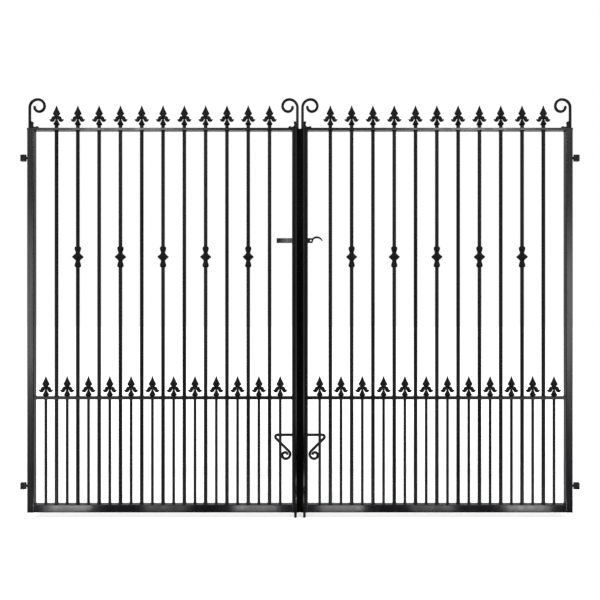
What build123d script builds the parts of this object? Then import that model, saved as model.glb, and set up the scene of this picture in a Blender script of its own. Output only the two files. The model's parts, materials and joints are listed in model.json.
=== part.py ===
import os

from build123d import *

os.makedirs("parts", exist_ok=True)

# All sizes are in mm. The front of the gate is -Y, X runs to the right and Z is up.
# The origin is on the outer face of the lower left hinge bracket.

# Opening and leaf frame
opening_width = 2468  # clear width between the two post faces
frame_height = 1694  # foot of the stiles to the top of the top rail
frame_depth = 30  # stiles and rails, front to back
stile_width = 30
tube_wall = 2.5
tube_corner = 3  # outer radius of the box section
bottom_rail_height = 35
flat_thickness = 10  # top rail, a flat bar
mid_rail_thickness = 12  # mid rail, a heavier flat bar
mid_rail_height = 504.3  # frame foot to the middle of the mid rail
foot_cap_thickness = 4  # plate that closes the foot of a stile
meeting_gap = 10  # between the two meeting stiles

# Upright bars, and the short dog bars between them
bar_dia = 16
dog_bar_dia = 12
bar_count = 11
edge_pitch_share = 1.03  # end gap of a leaf, as a share of the bar pitch
bar_shift = 2.4  # the row of bars stands this far outward of the leaf's middle
bar_hole_gap = 0.2  # around a bar in its punched hole
bar_neck = 13  # an upright bar stands this far above the top rail

# Cast finial, the same pattern on both kinds of bar
finial_height = 88
finial_width = 63
petal_thickness = 8
spear_depth = 14
spear_tip_width = 2
spear_foot_height_share = 0.43
spear_foot_width_share = 0.31
spear_foot_depth_share = 0.7
spear_wide_height_share = 0.611
spear_wide_width_share = 0.5
bell_foot_share = 0.26  # radii of the bell as shares of half the finial width
bell_lip_share = 0.44
bell_neck_share = 0.12
bell_lip_height_share = 0.072
bell_flare_shares = (0.19, 0.22)
bell_neck_height_share = 0.42
petal_neck_shares = (0.2, 0.49)  # points of a petal: share of half width, share of height
petal_crown_shares = (0.41, 0.5)
petal_shoulder_shares = (0.58, 0.45)
petal_flank_shares = (0.645, 0.39)
petal_bend_shares = (0.7, 0.328)
petal_flick_shares = (0.84, 0.31)
petal_tip_shares = (1.0, 0.335)
petal_belly_shares = (0.885, 0.23)
petal_foot_shares = (0.6, 0.18)
petal_heel_shares = (0.415, 0.195)
petal_inside_shares = (0.3, 0.245)
petal_vault_shares = (0.21, 0.31)
petal_root_shares = (0.11, 0.345)

# Cast knuckle on every second upright bar
knuckle_height = 94
knuckle_mid_height = 1126.5  # frame foot to the middle of the knuckle
knuckle_dia = 48.4
knuckle_bead_dia = 28.2
knuckle_neck_dia = 18.8
knuckle_end_dia = 19.2
knuckle_rim_share = 0.05  # heights as shares of half the knuckle height
knuckle_slope_share = 0.31
knuckle_neck_share = 0.43
knuckle_bead_share = 0.79

# Scroll at each end of the top rail, with its corner bracket
scroll_rod_dia = 12
scroll_rise = 93  # straight part above the top rail
scroll_radius = 36  # first quarter turn
scroll_shrink_share = 0.82  # each quarter turn against the one before
scroll_quarter_count = 4
scroll_edge = 0.3  # from the outer face of the stile to the rod
bracket_height = 30
bracket_length = 32
bracket_leg = 10
bracket_thickness = 10
bracket_gap = 0.1  # between the bracket and the rod
bracket_lobe_share = 0.8
bracket_hollow_share = 0.34

# Hinges: a forked bracket on the post, a pin, and an eye on the stile
lower_hinge_height = 114.4  # frame foot to the middle of the hinge
upper_hinge_drop = 130.7  # top of the top rail down to the middle of the upper hinge
hinge_block_height = 28.5
hinge_pad = 5
lug_thickness = 7
pin_dia = 10
pin_offset = 16  # post face to the pin axis
pin_head_dia = 13
pin_head_thickness = 1.5
eye_dia = 16
eye_end_gap = 0.3  # between the eye and each lug
eye_bore_gap = 0.1
pin_bore_gap = 0.05
shank_dia = 12
shank_length = 16.6  # pin axis to the outer face of the hinge stile

# Cover strip on the front of the right meeting stile
strip_width = 40
strip_thickness = 6
strip_bevel = 6  # across each front edge
strip_bevel_depth = 4
strip_standoff = 5  # clear of the left meeting stile
strip_foot = 5
strip_top_gap = 7  # below the top of the top rail

# Slide latch on the back of the right meeting stile
latch_height = 1200.5  # frame foot to the middle of the latch bar
latch_bar_height = 21.5
latch_bar_thickness = 6
latch_standoff = 1  # between the latch bar and the stiles
latch_reach = 104  # centre line to the left end of the bar
latch_lug_reach = 55.5  # centre line to the cut corner of the lug
latch_lug_slant = 6
padlock_hole_dia = 7
padlock_hole_reach = 48.5
tail_reach = 101.5  # centre line to the tip of the curled tail
tail_rise = 18  # above the middle of the bar
tail_thickness = 8.5
tail_tip_thickness = 4.5
tail_drop = 2  # tip of the tail below the middle of the bar
tail_lug_share = 0.25  # foot of the tail on the slanted edge, share of the bar height
latch_guide_width = 22
latch_guide_wall = 5
latch_guide_gap = 0.5
latch_rest_thickness = 5
latch_rest_width = 22

# Drop bolts on the back of the meeting stiles
bolt_dia = 12
bolt_standoff = 4.5  # between the bolt and the stile
bolt_projection = 35  # below the frame foot
bolt_tip_chamfer = 2.5
bolt_arm_height = 334  # frame foot to the handle arm
bolt_arm_reach = 109.6  # centre line to the outer end of the arm
bolt_bend_radius = 9
bolt_back_length = 81.5
bolt_curl_radius = 19.8
bolt_curl_share = 0.8
bolt_guide_width = 24
bolt_guide_wall = 6
bolt_guide_thickness = 16
bolt_guide_gap = 0.4
lower_guide_height = 75
upper_guide_height = 290
bolt_collar_dia = 19
bolt_collar_thickness = 6
bolt_collar_gap = 0.3

# Sizes that follow
centre_x = opening_width / 2
foot_z = -lower_hinge_height
half_depth = frame_depth / 2
half_gap = meeting_gap / 2
hinge_face = centre_x - pin_offset - shank_length  # centre line to the outer face of a hinge stile
leaf_width = hinge_face - half_gap
leaf_middle = half_gap + leaf_width / 2
row_middle = leaf_middle + bar_shift
clear_span = leaf_width - 2 * stile_width
bar_pitch = clear_span / (bar_count - 1 + 2 * edge_pitch_share)
bar_reaches = [row_middle + bar_pitch * (n - (bar_count - 1) / 2) for n in range(bar_count)]
dog_reaches = [row_middle + bar_pitch * (n - bar_count / 2) for n in range(bar_count + 1)]
knuckle_reaches = bar_reaches[1::2]
top_rail_z = foot_z + frame_height - flat_thickness
top_z = foot_z + frame_height
mid_rail_z = foot_z + mid_rail_height - mid_rail_thickness / 2
mid_rail_top_z = mid_rail_z + mid_rail_thickness
bar_foot_z = foot_z + bottom_rail_height
pin_reach = centre_x - pin_offset
eye_height = hinge_block_height - 2 * (lug_thickness + eye_end_gap)
hinge_levels = [foot_z + lower_hinge_height, top_z - upper_hinge_drop]
meeting_middle = half_gap + stile_width / 2
bolt_y = half_depth + bolt_standoff + bolt_dia / 2
latch_z = foot_z + latch_height
latch_y = half_depth + latch_standoff


def keep(piece, name):
    piece.part.label = name
    export_step(piece.part, f"parts/{name}.step")


def finial_point(shares):
    return (finial_width / 2 * shares[0], finial_height * shares[1])


def diamond(width, depth):
    Polygon((width / 2, 0), (0, depth / 2), (-width / 2, 0), (0, -depth / 2), align=None)


# One finial, foot at the origin: a ridged spear, two curled petals and a round bell
spear_sections = [
    (spear_foot_height_share, finial_width * spear_foot_width_share, spear_depth * spear_foot_depth_share),
    (spear_wide_height_share, finial_width * spear_wide_width_share, spear_depth),
    (1, spear_tip_width, spear_tip_width),
]
with BuildPart() as finial:
    for height_share, width, depth in spear_sections:
        with BuildSketch(Plane.XY.offset(finial_height * height_share)):
            diamond(width, depth)
    loft(ruled=True)
    with BuildSketch(Plane.XZ):
        with BuildLine():
            ThreePointArc(
                finial_point(petal_neck_shares),
                finial_point(petal_crown_shares),
                finial_point(petal_shoulder_shares),
            )
            ThreePointArc(
                finial_point(petal_shoulder_shares),
                finial_point(petal_flank_shares),
                finial_point(petal_bend_shares),
            )
            ThreePointArc(
                finial_point(petal_bend_shares),
                finial_point(petal_flick_shares),
                finial_point(petal_tip_shares),
            )
            ThreePointArc(
                finial_point(petal_tip_shares),
                finial_point(petal_belly_shares),
                finial_point(petal_foot_shares),
            )
            ThreePointArc(
                finial_point(petal_foot_shares),
                finial_point(petal_heel_shares),
                finial_point(petal_inside_shares),
            )
            ThreePointArc(
                finial_point(petal_inside_shares),
                finial_point(petal_vault_shares),
                finial_point(petal_root_shares),
            )
            Polyline(
                finial_point(petal_root_shares),
                (0, finial_height * petal_root_shares[1]),
                (0, finial_height * petal_neck_shares[1]),
                finial_point(petal_neck_shares),
            )
        make_face()
        mirror(about=Plane.YZ)
    extrude(amount=petal_thickness / 2, both=True)
    with BuildSketch(Plane.XZ):
        with BuildLine():
            Polyline(
                (0, finial_height * bell_neck_height_share),
                (0, 0),
                (finial_width / 2 * bell_foot_share, 0),
                (finial_width / 2 * bell_lip_share, finial_height * bell_lip_height_share),
            )
            ThreePointArc(
                (finial_width / 2 * bell_lip_share, finial_height * bell_lip_height_share),
                finial_point(bell_flare_shares),
                (finial_width / 2 * bell_neck_share, finial_height * bell_neck_height_share),
            )
            Line(
                (finial_width / 2 * bell_neck_share, finial_height * bell_neck_height_share),
                (0, finial_height * bell_neck_height_share),
            )
        make_face()
    revolve(axis=Axis.Z)

# One knuckle, middle at the origin
half_knuckle = knuckle_height / 2
knuckle_bore = bar_dia / 2 + bar_hole_gap
with BuildPart() as knuckle:
    with BuildSketch(Plane.XZ):
        with BuildLine():
            Polyline(
                (knuckle_bore, 0),
                (knuckle_dia / 2, 0),
                (knuckle_dia / 2, half_knuckle * knuckle_rim_share),
                (knuckle_neck_dia / 2, half_knuckle * knuckle_slope_share),
                (knuckle_neck_dia / 2, half_knuckle * knuckle_neck_share),
            )
            ThreePointArc(
                (knuckle_neck_dia / 2, half_knuckle * knuckle_neck_share),
                (knuckle_bead_dia / 2, half_knuckle * knuckle_bead_share),
                (knuckle_end_dia / 2, half_knuckle),
            )
            Polyline((knuckle_end_dia / 2, half_knuckle), (knuckle_bore, half_knuckle), (knuckle_bore, 0))
        make_face()
        mirror(about=Plane.XZ)
    revolve(axis=Axis.Z)

for leaf, hand in (("left", -1), ("right", 1)):
    leaf_middle_x = centre_x + hand * leaf_middle
    bar_places = [(centre_x + hand * reach, 0) for reach in bar_reaches]
    dog_places = [(centre_x + hand * reach, 0) for reach in dog_reaches]
    stile_length = frame_height - flat_thickness - foot_cap_thickness
    hinge_stile_x = centre_x + hand * (hinge_face - stile_width / 2)
    meeting_stile_x = centre_x + hand * meeting_middle
    bolt_x = meeting_stile_x
    pin_x = centre_x + hand * pin_reach

    with BuildPart() as hinge_stile:
        with BuildSketch(Plane((hinge_stile_x, 0, foot_z + foot_cap_thickness))):
            RectangleRounded(stile_width, frame_depth, tube_corner)
            Rectangle(stile_width - 2 * tube_wall, frame_depth - 2 * tube_wall, mode=Mode.SUBTRACT)
        extrude(amount=stile_length)
    keep(hinge_stile, f"{leaf}_hinge_stile")

    with BuildPart() as meeting_stile:
        with BuildSketch(Plane((meeting_stile_x, 0, foot_z + foot_cap_thickness))):
            RectangleRounded(stile_width, frame_depth, tube_corner)
            Rectangle(stile_width - 2 * tube_wall, frame_depth - 2 * tube_wall, mode=Mode.SUBTRACT)
        extrude(amount=stile_length)
    keep(meeting_stile, f"{leaf}_meeting_stile")

    with BuildPart() as foot_caps:
        with BuildSketch(Plane((0, 0, foot_z))):
            with Locations((hinge_stile_x, 0), (meeting_stile_x, 0)):
                RectangleRounded(stile_width, frame_depth, tube_corner)
        extrude(amount=foot_cap_thickness)
    keep(foot_caps, f"{leaf}_foot_caps")

    with BuildPart() as bottom_rail:
        rail_plane = Plane((leaf_middle_x, 0, foot_z + bottom_rail_height / 2), x_dir=(0, 1, 0), z_dir=(1, 0, 0))
        with BuildSketch(rail_plane):
            RectangleRounded(frame_depth, bottom_rail_height, tube_corner)
            Rectangle(frame_depth - 2 * tube_wall, bottom_rail_height - 2 * tube_wall, mode=Mode.SUBTRACT)
        extrude(amount=clear_span / 2, both=True)
    keep(bottom_rail, f"{leaf}_bottom_rail")

    with BuildPart() as mid_rail:
        with BuildSketch(Plane((0, 0, mid_rail_z))):
            with Locations((leaf_middle_x, 0)):
                Rectangle(clear_span, frame_depth)
            with Locations(bar_places):
                Circle(bar_dia / 2 + bar_hole_gap, mode=Mode.SUBTRACT)
            with Locations(dog_places):
                Circle(dog_bar_dia / 2 + bar_hole_gap, mode=Mode.SUBTRACT)
        extrude(amount=mid_rail_thickness)
    keep(mid_rail, f"{leaf}_mid_rail")

    with BuildPart() as top_rail:
        with BuildSketch(Plane((0, 0, top_rail_z))):
            with Locations((leaf_middle_x, 0)):
                Rectangle(leaf_width, frame_depth)
            with Locations(bar_places):
                Circle(bar_dia / 2 + bar_hole_gap, mode=Mode.SUBTRACT)
        extrude(amount=flat_thickness)
    keep(top_rail, f"{leaf}_top_rail")

    with BuildPart() as upright_bars:
        with BuildSketch(Plane((0, 0, bar_foot_z))):
            with Locations(bar_places):
                Circle(bar_dia / 2)
        extrude(amount=frame_height - bottom_rail_height + bar_neck)
    keep(upright_bars, f"{leaf}_upright_bars")

    with BuildPart() as dog_bars:
        with BuildSketch(Plane((0, 0, bar_foot_z))):
            with Locations(dog_places):
                Circle(dog_bar_dia / 2)
        extrude(amount=mid_rail_top_z - bar_foot_z)
    keep(dog_bars, f"{leaf}_dog_bars")

    with BuildPart() as top_finials:
        with Locations([(x, y, top_z + bar_neck) for x, y in bar_places]):
            add(finial.part)
    keep(top_finials, f"{leaf}_top_finials")

    with BuildPart() as dog_finials:
        with Locations([(x, y, mid_rail_top_z) for x, y in dog_places]):
            add(finial.part)
    keep(dog_finials, f"{leaf}_dog_finials")

    with BuildPart() as bar_knuckles:
        with Locations([(centre_x + hand * reach, 0, foot_z + knuckle_mid_height) for reach in knuckle_reaches]):
            add(knuckle.part)
    keep(bar_knuckles, f"{leaf}_bar_knuckles")

    # Each scroll starts over the far edge of its stile and curls in over its own leaf
    rod_inset = scroll_edge + scroll_rod_dia / 2
    scroll_feet = [
        (centre_x + hand * (hinge_face - rod_inset), -hand),
        (centre_x + hand * (half_gap + rod_inset), hand),
    ]
    with BuildPart() as scrolls:
        for foot_x, inward in scroll_feet:
            scroll_plane = Plane((foot_x, 0, top_z), x_dir=(inward, 0, 0), z_dir=(0, -inward, 0))
            with BuildLine(scroll_plane) as scroll_path:
                run = Line((0, 0), (0, scroll_rise))
                for n in range(scroll_quarter_count):
                    run = JernArc(run @ 1, run % 1, scroll_radius * scroll_shrink_share**n, -90)
            with BuildSketch(Plane((foot_x, 0, top_z))):
                Circle(scroll_rod_dia / 2)
            sweep(path=scroll_path.wire())
    keep(scrolls, f"{leaf}_scrolls")

    with BuildPart() as scroll_brackets:
        for foot_x, inward in scroll_feet:
            corner_x = foot_x + inward * (scroll_rod_dia / 2 + bracket_gap)
            bracket_plane = Plane((corner_x, 0, top_z), x_dir=(inward, 0, 0), z_dir=(0, -inward, 0))
            with BuildSketch(bracket_plane):
                with BuildLine():
                    Polyline((0, bracket_height), (0, 0), (bracket_length, 0))
                    ThreePointArc(
                        (bracket_length, 0),
                        (bracket_length, bracket_leg * bracket_lobe_share),
                        (bracket_length * bracket_lobe_share, bracket_leg),
                    )
                    ThreePointArc(
                        (bracket_length * bracket_lobe_share, bracket_leg),
                        (bracket_length * bracket_hollow_share, bracket_height * bracket_hollow_share),
                        (bracket_leg, bracket_height * bracket_lobe_share),
                    )
                    ThreePointArc(
                        (bracket_leg, bracket_height * bracket_lobe_share),
                        (bracket_leg * bracket_lobe_share, bracket_height),
                        (0, bracket_height),
                    )
                make_face()
            extrude(amount=bracket_thickness / 2, both=True)
    keep(scroll_brackets, f"{leaf}_scroll_brackets")

    # The eye turns on its pin between the two lugs; its shank is welded to the stile
    with BuildPart() as hinge_eyes:
        for level in hinge_levels:
            stile_plane = Plane((centre_x + hand * hinge_face, 0, level), x_dir=(0, 1, 0), z_dir=(hand, 0, 0))
            with BuildSketch(stile_plane):
                Circle(shank_dia / 2)
            extrude(amount=shank_length)
            with BuildSketch(Plane((pin_x, 0, level - eye_height / 2))):
                Circle(eye_dia / 2)
            extrude(amount=eye_height)
            with BuildSketch(Plane((pin_x, 0, level - eye_height / 2))):
                Circle(pin_dia / 2 + eye_bore_gap)
            extrude(amount=eye_height, mode=Mode.SUBTRACT)
    keep(hinge_eyes, f"{leaf}_hinge_eyes")

    with BuildPart() as hinge_brackets:
        for level in hinge_levels:
            fork_plane = Plane((pin_x, 0, level - hinge_block_height / 2), x_dir=(hand, 0, 0))
            slot_plane = Plane((pin_x, 0, level - hinge_block_height / 2 + lug_thickness), x_dir=(hand, 0, 0))
            with BuildSketch(fork_plane):
                Circle(eye_dia / 2)
                with Locations((pin_offset / 2, 0)):
                    Rectangle(pin_offset, eye_dia)
                Circle(pin_dia / 2 + pin_bore_gap, mode=Mode.SUBTRACT)
            extrude(amount=hinge_block_height)
            with BuildSketch(slot_plane):
                with Locations((pin_offset - hinge_pad, 0)):
                    Rectangle(pin_offset + eye_dia, 2 * eye_dia, align=(Align.MAX, Align.CENTER))
            extrude(amount=hinge_block_height - 2 * lug_thickness, mode=Mode.SUBTRACT)
    keep(hinge_brackets, f"{leaf}_hinge_brackets")

    with BuildPart() as hinge_pins:
        for level in hinge_levels:
            with BuildSketch(Plane((pin_x, 0, level - hinge_block_height / 2))):
                Circle(pin_dia / 2)
            extrude(amount=hinge_block_height)
            with BuildSketch(Plane((pin_x, 0, level + hinge_block_height / 2))):
                Circle(pin_head_dia / 2)
            extrude(amount=pin_head_thickness)
    keep(hinge_pins, f"{leaf}_hinge_pins")

    # Each guide is a block on the back of the meeting stile, bored for the bolt
    guide_depth = bolt_standoff + bolt_dia + bolt_guide_wall
    with BuildPart() as bolt_guides:
        for height in (lower_guide_height, upper_guide_height):
            with BuildSketch(Plane((bolt_x, 0, foot_z + height - bolt_guide_thickness / 2))):
                with Locations((0, half_depth + guide_depth / 2)):
                    Rectangle(bolt_guide_width, guide_depth)
                with Locations((0, bolt_y)):
                    Circle(bolt_dia / 2 + bolt_guide_gap, mode=Mode.SUBTRACT)
            extrude(amount=bolt_guide_thickness)
    keep(bolt_guides, f"{leaf}_bolt_guides")

    # The bolt is one rod: up the stile, out along the arm, back down and round into a curl
    collar_z = foot_z + upper_guide_height + bolt_guide_thickness / 2 + bolt_collar_gap
    bolt_plane = Plane((centre_x, bolt_y, foot_z), x_dir=(hand, 0, 0), z_dir=(0, -hand, 0))
    with BuildPart() as drop_bolt:
        with BuildLine(bolt_plane) as bolt_path:
            rod = Line((meeting_middle, -bolt_projection), (meeting_middle, bolt_arm_height - bolt_bend_radius))
            JernArc(rod @ 1, rod % 1, bolt_bend_radius, -90)
            arm = Line(
                (meeting_middle + bolt_bend_radius, bolt_arm_height),
                (bolt_arm_reach - bolt_bend_radius, bolt_arm_height),
            )
            turn = JernArc(arm @ 1, arm % 1, bolt_bend_radius, -135)
            back = PolarLine(turn @ 1, bolt_back_length, direction=turn % 1)
            run = JernArc(back @ 1, back % 1, bolt_curl_radius, 135)
            for n in range(1, 4):
                run = JernArc(run @ 1, run % 1, bolt_curl_radius * bolt_curl_share**n, 90)
        with BuildSketch(Plane((bolt_x, bolt_y, foot_z - bolt_projection))):
            Circle(bolt_dia / 2)
        sweep(path=bolt_path.wire())
        chamfer(drop_bolt.edges().sort_by(Axis.Z)[0], length=bolt_tip_chamfer)
        with BuildSketch(Plane((bolt_x, bolt_y, collar_z))):
            Circle(bolt_collar_dia / 2)
        extrude(amount=bolt_collar_thickness)
    keep(drop_bolt, f"{leaf}_drop_bolt")

# Cover strip: a bevelled front plate over the gap, on a packer along the right stile
strip_length = frame_height - strip_foot - strip_top_gap
strip_back = half_depth + strip_standoff
strip_front = strip_back + strip_thickness
strip_edge = strip_width / 2
strip_side = strip_front - strip_bevel_depth
with BuildPart() as cover_strip:
    with BuildSketch(Plane((centre_x, 0, foot_z + strip_foot))):
        Polygon(
            (-strip_edge, -strip_back),
            (-strip_edge, -strip_side),
            (-strip_edge + strip_bevel, -strip_front),
            (strip_edge - strip_bevel, -strip_front),
            (strip_edge, -strip_side),
            (strip_edge, -strip_back),
            align=None,
        )
        with Locations((half_gap, -half_depth)):
            Rectangle(strip_edge - half_gap, strip_standoff, align=(Align.MIN, Align.MAX))
    extrude(amount=strip_length)
keep(cover_strip, "right_cover_strip")

# Latch bar: flat bar, padlock lug and curled tail, cut from one piece
half_bar = latch_bar_height / 2
lug_end = latch_lug_reach + latch_lug_slant
tail_middle = (lug_end + tail_reach) / 2
bar_back_plane = Plane((centre_x, latch_y, latch_z), x_dir=(1, 0, 0), z_dir=(0, -1, 0))
with BuildPart() as latch_bar:
    with BuildSketch(bar_back_plane):
        with BuildLine():
            Polyline(
                (latch_lug_reach, half_bar),
                (-latch_reach, half_bar),
                (-latch_reach, -half_bar),
                (latch_lug_reach, -half_bar),
                (lug_end, latch_bar_height * tail_lug_share),
            )
            ThreePointArc(
                (lug_end, latch_bar_height * tail_lug_share),
                (tail_middle, tail_rise - tail_thickness),
                (tail_reach - tail_tip_thickness, -tail_drop),
            )
            Line((tail_reach - tail_tip_thickness, -tail_drop), (tail_reach, -tail_drop))
            ThreePointArc((tail_reach, -tail_drop), (tail_middle, tail_rise), (latch_lug_reach, half_bar))
        make_face()
        with Locations((padlock_hole_reach, 0)):
            Circle(padlock_hole_dia / 2, mode=Mode.SUBTRACT)
    extrude(amount=-latch_bar_thickness)
keep(latch_bar, "latch_bar")

guide_inner_height = latch_bar_height + 2 * latch_guide_gap
guide_inner_depth = latch_standoff + latch_bar_thickness + latch_guide_gap
with BuildPart() as latch_guide:
    guide_plane = Plane(
        (centre_x + meeting_middle, half_depth, latch_z),
        x_dir=(0, 1, 0),
        z_dir=(1, 0, 0),
    )
    with BuildSketch(guide_plane):
        Rectangle(
            guide_inner_depth + latch_guide_wall,
            guide_inner_height + 2 * latch_guide_wall,
            align=(Align.MIN, Align.CENTER),
        )
        Rectangle(guide_inner_depth, guide_inner_height, align=(Align.MIN, Align.CENTER), mode=Mode.SUBTRACT)
    extrude(amount=latch_guide_width / 2, both=True)
keep(latch_guide, "right_latch_guide")

with BuildPart() as latch_rest:
    with BuildSketch(Plane((centre_x - meeting_middle, half_depth, latch_z - half_bar - latch_guide_gap))):
        Rectangle(
            latch_rest_width,
            latch_standoff + latch_bar_thickness,
            align=(Align.CENTER, Align.MIN),
        )
    extrude(amount=-latch_rest_thickness)
keep(latch_rest, "left_latch_rest")
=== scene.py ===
import json
import math

import bmesh
import bpy
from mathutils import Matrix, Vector


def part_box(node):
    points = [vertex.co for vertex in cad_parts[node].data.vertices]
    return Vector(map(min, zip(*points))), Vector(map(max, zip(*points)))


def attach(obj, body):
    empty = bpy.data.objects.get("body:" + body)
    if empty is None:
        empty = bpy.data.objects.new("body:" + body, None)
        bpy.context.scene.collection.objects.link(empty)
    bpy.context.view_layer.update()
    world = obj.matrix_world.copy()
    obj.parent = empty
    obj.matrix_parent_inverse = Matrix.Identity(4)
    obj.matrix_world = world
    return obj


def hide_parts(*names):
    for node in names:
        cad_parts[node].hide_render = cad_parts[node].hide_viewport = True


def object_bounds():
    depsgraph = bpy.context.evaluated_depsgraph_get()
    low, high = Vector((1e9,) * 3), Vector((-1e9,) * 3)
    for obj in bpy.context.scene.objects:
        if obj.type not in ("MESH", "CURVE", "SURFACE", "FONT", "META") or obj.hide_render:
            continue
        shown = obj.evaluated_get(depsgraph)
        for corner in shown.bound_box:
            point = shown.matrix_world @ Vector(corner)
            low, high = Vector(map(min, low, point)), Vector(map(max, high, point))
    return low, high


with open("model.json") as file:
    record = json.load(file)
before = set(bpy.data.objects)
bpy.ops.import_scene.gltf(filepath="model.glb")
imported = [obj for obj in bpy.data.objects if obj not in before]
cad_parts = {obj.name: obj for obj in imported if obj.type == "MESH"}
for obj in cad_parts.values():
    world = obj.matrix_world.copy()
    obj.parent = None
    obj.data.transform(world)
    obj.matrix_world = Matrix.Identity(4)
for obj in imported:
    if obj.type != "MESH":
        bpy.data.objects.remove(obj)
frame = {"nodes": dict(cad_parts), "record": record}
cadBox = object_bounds()
nodes = frame["nodes"]
leaves = ("left", "right")
middleX = (cadBox[0][0] + cadBox[1][0]) / 2
groundZ = cadBox[0][2]  # tips of the drop bolts
print("frame loaded:", len(nodes), "nodes")


def shader(name):
    material = bpy.data.materials.new(name)
    material.use_nodes = True
    tree = material.node_tree
    tree.nodes.clear()
    output = tree.nodes.new("ShaderNodeOutputMaterial")
    bsdf = tree.nodes.new("ShaderNodeBsdfPrincipled")
    tree.links.new(bsdf.outputs["BSDF"], output.inputs["Surface"])
    return material, tree, bsdf


def noise(tree, place, scale, detail, rough=0.5):
    node = tree.nodes.new("ShaderNodeTexNoise")
    node.inputs["Scale"].default_value = scale
    node.inputs["Detail"].default_value = detail
    node.inputs["Roughness"].default_value = rough
    tree.links.new(place, node.inputs["Vector"])
    return node.outputs["Fac"]


def stretched(tree, place, scale):
    node = tree.nodes.new("ShaderNodeMapping")
    node.inputs["Scale"].default_value = scale
    tree.links.new(place, node.inputs["Vector"])
    return node.outputs["Vector"]


def spread(tree, value, low, high, start=0.3, end=0.7):
    node = tree.nodes.new("ShaderNodeMapRange")
    node.inputs["From Min"].default_value = start
    node.inputs["From Max"].default_value = end
    node.inputs["To Min"].default_value = low
    node.inputs["To Max"].default_value = high
    tree.links.new(value, node.inputs["Value"])
    return node.outputs["Result"]


def maths(tree, kind, first, second):
    node = tree.nodes.new("ShaderNodeMath")
    node.operation = kind
    for socket, value in zip(node.inputs, (first, second)):
        if isinstance(value, (int, float)):
            socket.default_value = value
        else:
            tree.links.new(value, socket)
    return node.outputs["Value"]


def mixed(tree, share, first, second):
    node = tree.nodes.new("ShaderNodeMix")
    node.data_type = "RGBA"
    tree.links.new(share, node.inputs["Factor"])
    for socket, value in zip((node.inputs["A"], node.inputs["B"]), (first, second)):
        if isinstance(value, tuple):
            socket.default_value = (*value, 1)
        else:
            tree.links.new(value, socket)
    return node.outputs["Result"]


def band(tree, value, start, end, soft):
    rising = spread(tree, value, 0, 1, start - soft, start + soft)
    falling = spread(tree, value, 1, 0, end - soft, end + soft)
    return maths(tree, "MULTIPLY", rising, falling)


def slideWear(tree, place, look):
    # paint rubbed thin where the rods pass their guides and the latch bar passes its own
    split = tree.nodes.new("ShaderNodeSeparateXYZ")
    tree.links.new(place, split.inputs["Vector"])
    across, height = split.outputs["X"], split.outputs["Z"]
    guideFoot, guideTop = (corner[2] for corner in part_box("left_bolt_guides"))
    lowRub = band(tree, height, guideFoot - look["lift"], guideFoot + look["guide"], look["rodSoft"])
    highRub = band(tree, height, guideTop - look["guide"] - look["lift"], guideTop, look["rodSoft"])
    fromMiddle = maths(tree, "ABSOLUTE", maths(tree, "SUBTRACT", across, middleX), 0)
    onRods = spread(tree, fromMiddle, 1, 0, look["rodReach"], look["rodReach"] + look["rodEdge"])
    rods = maths(tree, "MULTIPLY", maths(tree, "MAXIMUM", lowRub, highRub), onRods)
    barEnd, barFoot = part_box("latch_bar")[0].xz
    fade = spread(tree, across, 0, 1, barEnd + look["barStart"], barEnd + look["rubLength"])
    slid = band(tree, across, barEnd, barEnd + look["slide"], look["barSoft"])
    onBar = spread(tree, height, 0, 1, barFoot - look["barBelow"], barFoot - look["barBelow"] / 2)
    bar = maths(tree, "MULTIPLY", maths(tree, "MULTIPLY", fade, slid), onBar)
    scratches = spread(tree, noise(tree, place, look["scratch"], 4, 0.6), look["scratchLow"], 1)
    return maths(tree, "MULTIPLY", maths(tree, "MAXIMUM", rods, bar), scratches)


dustLook = dict(tone=(0.105, 0.098, 0.09), ledge=(0.55, 0.95), cover=(0.42, 0.66), dulls=0.5)
rainStretch = (1, 1, 0.08)  # rain marks run down


def blackPaint(name, look):
    material, tree, bsdf = shader(name)
    place = tree.nodes.new("ShaderNodeTexCoord").outputs["Object"]
    cloudy = noise(tree, stretched(tree, place, (1, 1, look["patchRise"])), look["patch"], 4)
    colour = mixed(tree, spread(tree, cloudy, 0, 1), look["dark"], look["pale"])
    facing = tree.nodes.new("ShaderNodeSeparateXYZ")
    tree.links.new(tree.nodes.new("ShaderNodeNewGeometry").outputs["Normal"], facing.inputs["Vector"])
    grains = noise(tree, place, look["dustGrain"], 5, 0.65)
    speckle = spread(tree, grains, 0, look["dust"], *dustLook["cover"])
    ledges = spread(tree, facing.outputs["Z"], 0, 1, *dustLook["ledge"])
    settled = maths(tree, "MULTIPLY", ledges, speckle)
    colour = mixed(tree, settled, colour, dustLook["tone"])
    if "wear" in look:
        colour = mixed(tree, slideWear(tree, place, look["wear"]), colour, look["wear"]["bare"])
    tree.links.new(colour, bsdf.inputs["Base Color"])
    runs = noise(tree, stretched(tree, place, rainStretch), look["runs"], 3)
    gloss = spread(tree, runs, *look["roughness"])
    dull = maths(tree, "ADD", gloss, maths(tree, "MULTIPLY", settled, dustLook["dulls"]))
    tree.links.new(dull, bsdf.inputs["Roughness"])
    peel = tree.nodes.new("ShaderNodeBump")
    peel.inputs["Strength"].default_value = look["peelStrength"]
    peel.inputs["Distance"].default_value = look["peelDepth"]
    tree.links.new(noise(tree, place, look["peel"], 2), peel.inputs["Height"])
    tree.links.new(peel.outputs["Normal"], bsdf.inputs["Normal"])
    bsdf.inputs["Specular IOR Level"].default_value = look["shine"]
    return material


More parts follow.
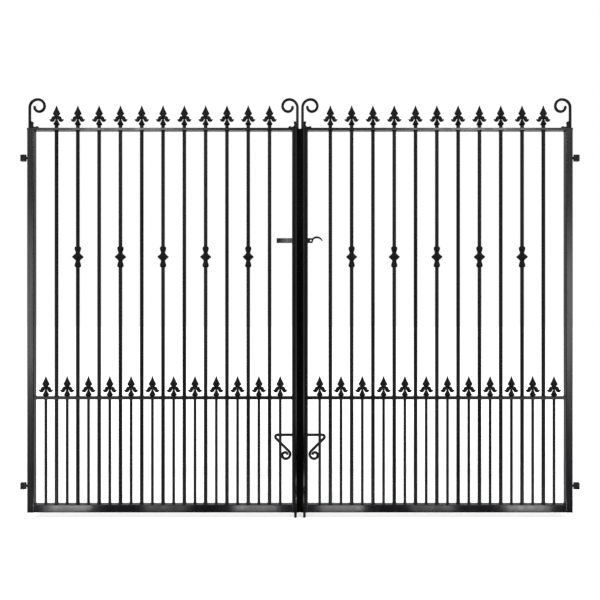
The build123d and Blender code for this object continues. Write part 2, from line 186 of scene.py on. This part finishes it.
paints = {
    "frame_paint": dict(
        dark=(0.002, 0.0019, 0.0023), pale=(0.0046, 0.0043, 0.005), patch=5, patchRise=1,
        dust=0.1, dustGrain=120, runs=30, roughness=(0.22, 0.32),
        peel=260, peelStrength=0.03, peelDepth=0.0004, shine=0.1),
    "bar_paint": dict(
        dark=(0.001, 0.001, 0.0011), pale=(0.007, 0.007, 0.0074), patch=10, patchRise=0.1,
        dust=0.1, dustGrain=150, runs=45, roughness=(0.32, 0.5),
        peel=340, peelStrength=0.015, peelDepth=0.0003, shine=0.03),
    "casting_paint": dict(
        dark=(0.001, 0.001, 0.001), pale=(0.0032, 0.0032, 0.0033), patch=40, patchRise=1,
        dust=0.14, dustGrain=260, runs=90, roughness=(0.46, 0.6),
        peel=620, peelStrength=0.16, peelDepth=0.0005, shine=0.045),
    "hinge_paint": dict(
        dark=(0.0016, 0.0016, 0.0016), pale=(0.0045, 0.0045, 0.0045), patch=50, patchRise=1,
        dust=0.14, dustGrain=260, runs=90, roughness=(0.42, 0.54),
        peel=520, peelStrength=0.1, peelDepth=0.0004, shine=0.06),
    "strip_paint": dict(
        dark=(0.0002, 0.0002, 0.0002), pale=(0.0006, 0.0006, 0.0006), patch=6, patchRise=1,
        dust=0.06, dustGrain=150, runs=30, roughness=(0.12, 0.18),
        peel=300, peelStrength=0.015, peelDepth=0.0004, shine=0.28),
    "bolt_paint": dict(
        dark=(0.002, 0.002, 0.002), pale=(0.006, 0.006, 0.0062), patch=30, patchRise=1,
        dust=0.12, dustGrain=220, runs=70, roughness=(0.4, 0.5),
        peel=420, peelStrength=0.08, peelDepth=0.0004, shine=0.06,
        wear=dict(
            bare=(0.1, 0.1, 0.102), scratch=300, scratchLow=0.45,
            guide=0.016, lift=0.07, rodReach=0.029, rodEdge=0.002, rodSoft=0.006,
            slide=0.11, rubLength=0.065, barStart=0.01, barSoft=0.004, barBelow=0.02)),
}
finishes = {slot: blackPaint(slot, look) for slot, look in paints.items()}

pinLook = dict(
    dark=(0.07, 0.068, 0.066), pale=(0.2, 0.198, 0.195), grime=180,
    brush=900, brushStretch=(0.05, 0.05, 1), roughness=(0.28, 0.48))
finishes["pin_steel"], tree, bsdf = shader("pin_steel")
place = tree.nodes.new("ShaderNodeTexCoord").outputs["Object"]
oily = spread(tree, noise(tree, place, pinLook["grime"], 5, 0.6), 0, 1)
brushed = noise(tree, stretched(tree, place, pinLook["brushStretch"]), pinLook["brush"], 2)
tree.links.new(mixed(tree, oily, pinLook["dark"], pinLook["pale"]), bsdf.inputs["Base Color"])
tree.links.new(spread(tree, brushed, *pinLook["roughness"]), bsdf.inputs["Roughness"])
bsdf.inputs["Metallic"].default_value = 1

for part in frame["record"]["subparts"]:
    cadNode = nodes[part["node"]]
    finish = finishes[part["material_slot"]]
    if cadNode.material_slots:
        for materialSlot in cadNode.material_slots:
            materialSlot.material = finish
    else:
        cadNode.data.materials.append(finish)
print("finishes:", len(finishes))


def linked(name, data):
    item = bpy.data.objects.new(name, data)
    bpy.context.collection.objects.link(item)
    return item


def smooth(data):
    data.polygons.foreach_set("use_smooth", [True] * len(data.polygons))


mergeWithin = 1e-7


def meshObject(name, shape):
    bmesh.ops.remove_doubles(shape, verts=shape.verts, dist=mergeWithin)
    bmesh.ops.recalc_face_normals(shape, faces=shape.faces)
    data = bpy.data.meshes.new(name)
    shape.to_mesh(data)
    shape.free()
    smooth(data)
    return linked(name, data)


def addRings(shape, rings, tube=False):
    rows = [[shape.verts.new(point) for point in ring] for ring in rings]
    pairs = list(zip(rows, rows[1:]))
    if tube:
        pairs.append((rows[-1], rows[0]))
    else:
        shape.faces.new(rows[0][::-1])
        shape.faces.new(rows[-1])
    for low, high in pairs:
        count = len(low)
        for n in range(count):
            shape.faces.new((low[n], low[(n + 1) % count], high[(n + 1) % count], high[n]))


def roundAngles(sides):
    return [2 * math.pi * n / sides for n in range(sides)]


def roundRing(radius, height, sides):
    return [(radius * math.cos(a), radius * math.sin(a), height) for a in roundAngles(sides)]


def softDiamond(width, depth, height, sides, power):
    ring = []
    for a in roundAngles(sides):
        x = math.copysign(abs(math.cos(a)) ** (1 / power), math.cos(a))
        y = math.copysign(abs(math.sin(a)) ** (1 / power), math.sin(a))
        ring.append((width * x, depth * y, height))
    return ring


def newTree(name, inputs):
    tree = bpy.data.node_groups.new(name, "GeometryNodeTree")
    for label, kind in inputs.items():
        tree.interface.new_socket(label, in_out="INPUT", socket_type="NodeSocket" + kind)
    tree.interface.new_socket("Pieces", in_out="OUTPUT", socket_type="NodeSocketGeometry")
    return tree, tree.nodes.new("NodeGroupInput").outputs


def chanceBetween(tree, lowest, highest, seed):
    node = tree.nodes.new("FunctionNodeRandomValue")
    node.data_type = "FLOAT"
    tree.links.new(lowest, node.inputs[2])
    tree.links.new(highest, node.inputs[3])
    tree.links.new(seed, node.inputs["Seed"])
    return node.outputs[1]


def ownValue(tree, label):
    node = tree.nodes.new("GeometryNodeInputNamedAttribute")
    node.inputs["Name"].default_value = label
    return node.outputs["Attribute"]


def copiesOnPoints(tree, points, master, turn, size, finish):
    # one copy of the master on every point, made real and painted
    info = tree.nodes.new("GeometryNodeObjectInfo")
    copies = tree.nodes.new("GeometryNodeInstanceOnPoints")
    real = tree.nodes.new("GeometryNodeRealizeInstances")
    paint = tree.nodes.new("GeometryNodeSetMaterial")
    end = tree.nodes.new("NodeGroupOutput")
    tree.links.new(master, info.inputs["Object"])
    tree.links.new(points, copies.inputs["Points"])
    tree.links.new(info.outputs["Geometry"], copies.inputs["Instance"])
    tree.links.new(turn, copies.inputs["Rotation"])
    tree.links.new(size, copies.inputs["Scale"])
    tree.links.new(copies.outputs["Instances"], real.inputs["Geometry"])
    tree.links.new(real.outputs["Geometry"], paint.inputs["Geometry"])
    tree.links.new(finish, paint.inputs["Material"])
    tree.links.new(paint.outputs["Geometry"], end.inputs["Pieces"])


def pointTree():
    # sets one casting on every point, turned and sized by the point's own values
    tree, given = newTree("castingsOnPoints", {
        "Points": "Geometry", "Casting": "Object", "Finish": "Material",
        "Turn Spread": "Float", "Seed": "Int"})
    backwards = maths(tree, "MULTIPLY", given["Turn Spread"], -1)
    angles = tree.nodes.new("ShaderNodeCombineXYZ")
    about = chanceBetween(tree, backwards, given["Turn Spread"], given["Seed"])
    tree.links.new(ownValue(tree, "flip"), angles.inputs["X"])
    tree.links.new(about, angles.inputs["Z"])
    turn = tree.nodes.new("FunctionNodeEulerToRotation")
    tree.links.new(angles.outputs["Vector"], turn.inputs["Euler"])
    copiesOnPoints(tree, given["Points"], given["Casting"], turn.outputs["Rotation"],
                   ownValue(tree, "size"), given["Finish"])
    return tree


def seamTree():
    # lays weld ripples along every edge of a mesh
    tree, given = newTree("weldSeams", {
        "Seams": "Geometry", "Ripple": "Object", "Finish": "Material", "Pitch": "Float",
        "Smallest": "Float", "Largest": "Float", "Seed": "Int"})
    line = tree.nodes.new("GeometryNodeMeshToCurve")
    tree.links.new(given["Seams"], line.inputs["Mesh"])
    steps = tree.nodes.new("GeometryNodeResampleCurve")
    steps.mode = "LENGTH"
    tree.links.new(line.outputs["Curve"], steps.inputs["Curve"])
    tree.links.new(given["Pitch"], steps.inputs["Length"])
    along = tree.nodes.new("GeometryNodeInputTangent")
    turn = tree.nodes.new("FunctionNodeAlignRotationToVector")
    turn.axis = "X"
    tree.links.new(along.outputs["Tangent"], turn.inputs["Vector"])
    size = chanceBetween(tree, given["Smallest"], given["Largest"], given["Seed"])
    copiesOnPoints(tree, steps.outputs["Curve"], given["Ripple"], turn.outputs["Rotation"],
                   size, given["Finish"])
    return tree


def grow(name, host, tree, inputs):
    modifier = host.modifiers.new("grow", "NODES")
    modifier.node_group = tree
    for socket in tree.interface.items_tree:
        if socket.name in inputs:
            modifier[socket.identifier] = inputs[socket.name]
    bpy.context.view_layer.update()
    evaluated = host.evaluated_get(bpy.context.evaluated_depsgraph_get())
    data = bpy.data.meshes.new_from_object(evaluated)
    data.name = name
    host.modifiers.remove(modifier)
    bpy.data.objects.remove(host)
    smooth(data)
    return linked(name, data)


def pointCloud(name, spots):
    # a spot is its place, its flip about X and its size
    data = bpy.data.meshes.new(name)
    data.from_pydata([spot[0] for spot in spots], [], [])
    data.attributes.new("flip", "FLOAT", "POINT").data.foreach_set("value", [spot[1] for spot in spots])
    data.attributes.new("size", "FLOAT", "POINT").data.foreach_set("value", [spot[2] for spot in spots])
    return linked(name, data)


def castingInputs(master, slot, look):
    return {"Casting": master, "Finish": finishes[slot],
            "Turn Spread": look["turnSpread"], "Seed": look["seed"]}


castingTree = pointTree()
weldTree = seamTree()

# where the bars stand, read from the solids
barPlan = dict(barRadius=0.008, dogRadius=0.006, bars=11)


def evenSpots(node, radius, count):
    low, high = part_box(node)
    first, last = low[0] + radius, high[0] - radius
    return [first + (last - first) * n / (count - 1) for n in range(count)]


barSpots = {}
dogSpots = {}
for leaf in leaves:
    barSpots[leaf] = evenSpots(leaf + "_upright_bars", barPlan["barRadius"], barPlan["bars"])
    dogSpots[leaf] = evenSpots(leaf + "_dog_bars", barPlan["dogRadius"], barPlan["bars"] + 1)

# cast spear finial: heights are shares of its height, the rest shares of half its width
finialLook = dict(
    sides=12, turnSpread=0.03, seed=4, spearPower=0.72, softLevels=1,
    # height, half width, half depth
    spear=((0.40, 0.26, 0.14), (0.46, 0.3, 0.16), (0.51, 0.35, 0.18), (0.555, 0.47, 0.2),
           (0.59, 0.565, 0.22), (0.606, 0.58, 0.222), (0.625, 0.565, 0.22), (0.7, 0.43, 0.185),
           (0.8, 0.28, 0.135), (0.9, 0.155, 0.085), (0.975, 0.075, 0.05), (1.016, 0.04, 0.035)),
    # outer edge and inner edge as reach and height, half thickness
    petal=(((0.10, 0.478), (0.04, 0.352), 0.13), ((0.25, 0.486), (0.12, 0.342), 0.15),
           ((0.46, 0.494), (0.185, 0.322), 0.165), ((0.645, 0.46), (0.235, 0.286), 0.17),
           ((0.715, 0.405), (0.3, 0.24), 0.165), ((0.745, 0.352), (0.405, 0.197), 0.155),
           ((0.78, 0.332), (0.59, 0.182), 0.145), ((0.85, 0.326), (0.765, 0.191), 0.13),
           ((0.93, 0.333), (0.915, 0.23), 0.105), ((1.0, 0.347), (1.0, 0.296), 0.06)),
    # radius, height
    bell=((0.26, 0.0), (0.28, 0.012), (0.4, 0.048), (0.46, 0.068), (0.455, 0.082), (0.36, 0.14),
          (0.28, 0.192), (0.215, 0.24), (0.165, 0.29), (0.135, 0.34), (0.125, 0.41)),
)
low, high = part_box("left_top_finials")
finialHigh = high[2] - low[2]
finialHalf = (high[0] - low[0] - (barSpots["left"][-1] - barSpots["left"][0])) / 2
sides = finialLook["sides"]


def petalRing(hand, outer, inner, thick):
    middle = [(a + b) / 2 for a, b in zip(outer, inner)]
    reach = [(a - b) / 2 for a, b in zip(outer, inner)]
    ring = []
    for a in roundAngles(sides):
        x = hand * finialHalf * (middle[0] + reach[0] * math.cos(a))
        z = finialHigh * (middle[1] + reach[1] * math.cos(a))
        ring.append((x, finialHalf * thick * math.sin(a), z))
    return ring


shape = bmesh.new()
power = finialLook["spearPower"]
addRings(shape, [softDiamond(finialHalf * width, finialHalf * depth, finialHigh * height, sides, power)
                 for height, width, depth in finialLook["spear"]])
for hand in (-1, 1):
    addRings(shape, [petalRing(hand, *row) for row in finialLook["petal"]])
addRings(shape, [roundRing(finialHalf * r, finialHigh * h, sides) for r, h in finialLook["bell"]])
finialMaster = meshObject("finialMaster", shape)
soften = finialMaster.modifiers.new("soften", "SUBSURF")
soften.levels = soften.render_levels = finialLook["softLevels"]

for leaf in leaves:
    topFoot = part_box(leaf + "_top_finials")[0][2]
    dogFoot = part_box(leaf + "_dog_finials")[0][2]
    spots = [((x, 0, topFoot), 0, 1) for x in barSpots[leaf]]
    spots += [((x, 0, dogFoot), 0, 1) for x in dogSpots[leaf]]
    finials = grow(leaf + "SpearFinials", pointCloud("finialSpots", spots), castingTree,
                   castingInputs(finialMaster, "casting_paint", finialLook))
    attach(finials, leaf + "_leaf")
    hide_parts(leaf + "_top_finials", leaf + "_dog_finials")
    print(finials.name, len(finials.data.polygons), "faces")
bpy.data.objects.remove(finialMaster)

# cast knuckle, turned profile: radius in metres, height as a share of half the knuckle
knuckleLook = dict(
    sides=28, turnSpread=3.0, seed=9, bore=0.0076,
    profile=((0.0089, 0.985), (0.0106, 0.965), (0.0126, 0.925), (0.0138, 0.865), (0.0141, 0.80),
             (0.0136, 0.72), (0.0123, 0.62), (0.0107, 0.52), (0.0096, 0.45), (0.00935, 0.39),
             (0.0099, 0.335), (0.0124, 0.265), (0.0172, 0.172), (0.0218, 0.092), (0.0237, 0.045),
             (0.0242, 0.0)),
)
low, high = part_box("left_bar_knuckles")
halfHigh = (high[2] - low[2]) / 2
upper = [(radius, share * halfHigh) for radius, share in knuckleLook["profile"]]
lower = [(radius, -height) for radius, height in upper[-2::-1]]
turned = [(knuckleLook["bore"], halfHigh)] + upper + lower + [(knuckleLook["bore"], -halfHigh)]
shape = bmesh.new()
addRings(shape, [roundRing(r, h, knuckleLook["sides"]) for r, h in turned], tube=True)
knuckleMaster = meshObject("knuckleMaster", shape)
for leaf in leaves:
    low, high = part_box(leaf + "_bar_knuckles")
    level = (low[2] + high[2]) / 2
    spots = [((x, 0, level), 0, 1) for x in barSpots[leaf][1::2]]  # every second bar
    knuckles = grow(leaf + "BarKnuckles", pointCloud("knuckleSpots", spots), castingTree,
                    castingInputs(knuckleMaster, "casting_paint", knuckleLook))
    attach(knuckles, leaf + "_leaf")
    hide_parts(leaf + "_bar_knuckles")
    print(knuckles.name, len(knuckles.data.polygons), "faces")
bpy.data.objects.remove(knuckleMaster)

# weld rings where a bar meets a rail, sized for an upright bar
ringLook = dict(sides=14, leg=0.0026, bulge=0.62, overlap=0.0006, ripple=0.0003, turnSpread=3.0, seed=2)
leg, inside = ringLook["leg"], -ringLook["overlap"]
bulge = leg * ringLook["bulge"]
section = ((inside, 0), (leg, 0), (bulge, bulge), (inside, leg))
rings = []
for out, rise in section:
    ring = []
    for n, a in enumerate(roundAngles(ringLook["sides"])):
        wave = ringLook["ripple"] * (1 if n % 2 else -1) if out > 0 else 0
        radius = barPlan["barRadius"] + out + wave
        ring.append((radius * math.cos(a), radius * math.sin(a), rise))
    rings.append(ring)
shape = bmesh.new()
addRings(shape, rings, tube=True)
ringMaster = meshObject("ringMaster", shape)
slim = barPlan["dogRadius"] / barPlan["barRadius"]
for leaf in leaves:
    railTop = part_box(leaf + "_bottom_rail")[1][2]
    midLow, midHigh = (corner[2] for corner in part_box(leaf + "_mid_rail"))
    topLow, topHigh = (corner[2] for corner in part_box(leaf + "_top_rail"))
    spots = []
    for x in barSpots[leaf]:
        spots += [((x, 0, z), 0, 1) for z in (railTop, midHigh, topHigh)]
        spots += [((x, 0, z), math.pi, 1) for z in (midLow, topLow)]
    for x in dogSpots[leaf]:
        spots += [((x, 0, railTop), 0, slim), ((x, 0, midLow), math.pi, slim)]
    welds = grow(leaf + "BarWelds", pointCloud("ringSpots", spots), castingTree,
                 castingInputs(ringMaster, "bar_paint", ringLook))
    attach(welds, leaf + "_leaf")
    print(welds.name, len(welds.data.polygons), "faces")
bpy.data.objects.remove(ringMaster)

# weld seams along the frame joints, one ripple tapering to both ends
seamLook = dict(
    pitch=0.0032, length=0.0026, width=0.0021, sides=6, seed=6, smallest=0.88, largest=1.1,
    inset=0.0035,  # keeps the seams inside the frame's faces
    taper=((-1, 0.15), (-0.6, 0.8), (0, 1), (0.6, 0.8), (1, 0.15)),
)
rings = []
for step, full in seamLook["taper"]:
    ring = roundRing(seamLook["width"] * full, seamLook["length"] * step, seamLook["sides"])
    rings.append([(along, x, y) for x, y, along in ring])
shape = bmesh.new()
addRings(shape, rings)
rippleMaster = meshObject("rippleMaster", shape)
for leaf in leaves:
    low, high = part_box(leaf + "_mid_rail")
    front, back = low[1] + seamLook["inset"], high[1] - seamLook["inset"]
    seamEnds = []  # x and z of each seam, which runs from front to back
    for node in ("_mid_rail", "_bottom_rail"):
        low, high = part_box(leaf + node)
        for x in (low[0], high[0]):
            seamEnds.append((x, high[2]))
            if node == "_mid_rail":
                seamEnds.append((x, low[2]))
    low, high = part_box(leaf + "_top_rail")
    for node in ("_hinge_stile", "_meeting_stile"):
        stileLow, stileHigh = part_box(leaf + node)
        inner = stileHigh[0] if stileHigh[0] < (low[0] + high[0]) / 2 else stileLow[0]
        seamEnds.append((inner, low[2]))
    points = [(x, y, z) for x, z in seamEnds for y in (front, back)]
    edges = [(2 * n, 2 * n + 1) for n in range(len(seamEnds))]
    data = bpy.data.meshes.new("seamPaths")
    data.from_pydata(points, edges, [])
    seams = grow(leaf + "FrameWelds", linked("seamPaths", data), weldTree, {
        "Ripple": rippleMaster, "Finish": finishes["frame_paint"], "Pitch": seamLook["pitch"],
        "Smallest": seamLook["smallest"], "Largest": seamLook["largest"], "Seed": seamLook["seed"]})
    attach(seams, leaf + "_leaf")
    print(seams.name, len(seams.data.polygons), "faces")
bpy.data.objects.remove(rippleMaster)

# rounded ends on the scroll rods, which stop pointing straight up after four quarter turns
tipLook = dict(
    rod=0.006, rise=0.093, radius=0.036, shrink=0.82,
    sides=20, bands=6, sunk=0.001, fullness=0.985)
turns = [tipLook["radius"] * tipLook["shrink"] ** n for n in range(4)]
tipAcross = turns[0] + turns[1] - turns[2] - turns[3]
tipUp = tipLook["rise"] + turns[0] - turns[1] - turns[2] + turns[3]
tipRings = [(tipLook["rod"] * tipLook["fullness"], -tipLook["sunk"])]
for n in range(tipLook["bands"] + 1):
    a = math.pi / 2 * min(n / tipLook["bands"], tipLook["fullness"])
    tipRings.append((tipLook["rod"] * math.cos(a), tipLook["rod"] * math.sin(a)))
for leaf in leaves:
    low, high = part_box(leaf + "_scrolls")
    shape = bmesh.new()
    for foot, inward in ((low[0] + tipLook["rod"], 1), (high[0] - tipLook["rod"], -1)):
        centre = Vector((foot + inward * tipAcross, 0, low[2] + tipUp))
        rings = [roundRing(radius, height, tipLook["sides"]) for radius, height in tipRings]
        addRings(shape, [[centre + Vector(point) for point in ring] for ring in rings])
    tips = meshObject(leaf + "ScrollTips", shape)
    tips.data.materials.append(finishes["bar_paint"])
    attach(tips, leaf + "_leaf")
print("scroll tips set")


def areaLight(name, place, target, size, power):
    lamp = bpy.data.lights.new(name, "AREA")
    lamp.shape = "RECTANGLE"
    lamp.size, lamp.size_y = size
    lamp.energy = power
    holder = linked(name, lamp)
    holder.location = place
    holder.rotation_euler = (Vector(target) - Vector(place)).to_track_quat("-Z", "Y").to_euler()
    holder.visible_camera = False


def seenRays(tree):
    paths = tree.nodes.new("ShaderNodeLightPath")
    seen = maths(tree, "MAXIMUM", paths.outputs["Is Camera Ray"], paths.outputs["Is Glossy Ray"])
    return maths(tree, "MAXIMUM", seen, paths.outputs["Is Transmission Ray"])


def whiteBackground(tree, lit, output):
    # white where it is seen straight or in a reflection, plain light elsewhere
    white = tree.nodes.new("ShaderNodeBackground")
    white.inputs["Color"].default_value = (1, 1, 1, 1)
    white.inputs["Strength"].default_value = 1
    choose = tree.nodes.new("ShaderNodeMixShader")
    tree.links.new(seenRays(tree), choose.inputs["Fac"])
    tree.links.new(lit, choose.inputs[1])
    tree.links.new(white.outputs["Background"], choose.inputs[2])
    tree.links.new(choose.outputs["Shader"], output)


# the picture is square on; a pixel is measured on the front faces of the stiles
view = dict(
    metresPerPixel=0.0044, side=600, footRow=512.7, middleColumn=299.95,
    distance=2.75, sensor=36, far=100)
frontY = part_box("left_hinge_stile")[0][1]
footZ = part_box("left_foot_caps")[0][2]
eyeX = middleX + (view["side"] / 2 - view["middleColumn"]) * view["metresPerPixel"]
eyeZ = footZ + (view["footRow"] - view["side"] / 2) * view["metresPerPixel"]
camera = linked("camera", bpy.data.cameras.new("camera"))
camera.location = (eyeX, frontY - view["distance"], eyeZ)
camera.rotation_euler = (math.radians(90), 0, 0)
camera.data.sensor_width = view["sensor"]
camera.data.lens = view["sensor"] * view["distance"] / (view["side"] * view["metresPerPixel"])
camera.data.clip_end = view["far"]
bpy.context.scene.camera = camera

worldLook = dict(fill=(0.96, 0.97, 1, 1), strength=0.35)
world = bpy.data.worlds.new("studio")
bpy.context.scene.world = world
world.use_nodes = True
tree = world.node_tree
tree.nodes.clear()
worldOut = tree.nodes.new("ShaderNodeOutputWorld")
fill = tree.nodes.new("ShaderNodeBackground")
fill.inputs["Color"].default_value = worldLook["fill"]
fill.inputs["Strength"].default_value = worldLook["strength"]
whiteBackground(tree, fill.outputs["Background"], worldOut.inputs["Surface"])

# softboxes: place and aim in metres, out from the middle, along Y and up from the camera's height
topLook = dict(place=(-0.5, -2.2, 3.5785), aim=(0, 0, -0.0215), size=(3.0, 1.5), power=25)
sideLooks = {
    "Softbox": dict(place=(3.2, -4.6, -0.04), aim=(1.2, 0, -0.04), size=(1.5, 1.75), power=145),
    "BackSoftbox": dict(place=(1.8, 3.2, 2.0), aim=(0.6, 0, 0), size=(1.6, 0.9), power=36),
    "HighSoftbox": dict(place=(1.5, -2.75, 1.55), aim=(1, 0, 0.3785), size=(0.9, 0.45), power=75),
}


def softbox(name, look, hand=1):
    place, target = ((eyeX + hand * out, y, eyeZ + up) for out, y, up in (look["place"], look["aim"]))
    areaLight(name, place, target, look["size"], look["power"])


softbox("topSoftbox", topLook)
for side, hand in (("left", -1), ("right", 1)):
    for kind, look in sideLooks.items():
        softbox(side + kind, look, hand)

# small lamps low in front of the bottom rail: picture column and power
footLook = dict(
    lamps=((67, 3.4), (165, 1.0), (255, 2.4), (342, 2.8), (434, 1.25), (529, 3.1)),
    widen=1.05, before=0.175, lift=0.004, size=(0.2, 0.09))
for number, (column, power) in enumerate(footLook["lamps"]):
    across = (column - view["side"] / 2) * view["metresPerPixel"] * footLook["widen"]
    spot = Vector((eyeX + across, frontY - footLook["before"], groundZ + footLook["lift"]))
    above = spot + Vector((0, 0, 1))
    areaLight("footLight%d" % number, spot, above, footLook["size"], power)

# dark card behind the camera and along the floor, seen only in the paint's reflections
cardLook = dict(
    away=4.3, near=0.06, wide=2.0, strip=3.4, high=3.4, lift=0.003, tone=(0.004, 0.004, 0.004, 1))
cardFoot = groundZ + cardLook["lift"]
farFoot = (-cardLook["away"], cardFoot)
farTop = (-cardLook["away"], cardFoot + cardLook["high"])
nearFoot = (-cardLook["near"], cardFoot)
shape = bmesh.new()
for width, start, end in ((cardLook["wide"], farFoot, farTop), (cardLook["strip"], nearFoot, farFoot)):
    left, right = eyeX - width / 2, eyeX + width / 2
    corners = ((left, *start), (right, *start), (right, *end), (left, *end))
    shape.faces.new([shape.verts.new(corner) for corner in corners])
darkCard = meshObject("darkCard", shape)
cardPaint, tree, bsdf = shader("cardPaint")
bsdf.inputs["Base Color"].default_value = cardLook["tone"]
bsdf.inputs["Roughness"].default_value = 1
bsdf.inputs["Specular IOR Level"].default_value = 0
darkCard.data.materials.append(cardPaint)
darkCard.visible_camera = darkCard.visible_diffuse = darkCard.visible_shadow = False

# pale floor that fades to white far off
floorLook = dict(
    reach=20, tone=(0.97, 0.97, 0.97, 1), roughness=0.95, glow=(0.3, 0.85), glowFrom=1.6, glowTo=4.5)
floorMiddle = (middleX, 0, groundZ)
shape = bmesh.new()
bmesh.ops.create_grid(shape, x_segments=1, y_segments=1, size=floorLook["reach"])
bmesh.ops.translate(shape, verts=shape.verts, vec=floorMiddle)
floor = meshObject("floor", shape)
floorPaint, tree, bsdf = shader("floorPaint")
bsdf.inputs["Base Color"].default_value = floorLook["tone"]
bsdf.inputs["Roughness"].default_value = floorLook["roughness"]
bsdf.inputs["Specular IOR Level"].default_value = 0
bsdf.inputs["Emission Color"].default_value = (1, 1, 1, 1)
place = tree.nodes.new("ShaderNodeTexCoord").outputs["Object"]
away = tree.nodes.new("ShaderNodeVectorMath")
away.operation = "DISTANCE"
away.inputs[1].default_value = floorMiddle
tree.links.new(place, away.inputs[0])
glow = spread(tree, away.outputs["Value"], *floorLook["glow"], floorLook["glowFrom"], floorLook["glowTo"])
tree.links.new(maths(tree, "MULTIPLY", glow, seenRays(tree)), bsdf.inputs["Emission Strength"])
floor.data.materials.append(floorPaint)
bpy.context.scene.view_settings.view_transform = "Standard"
print("studio ready")
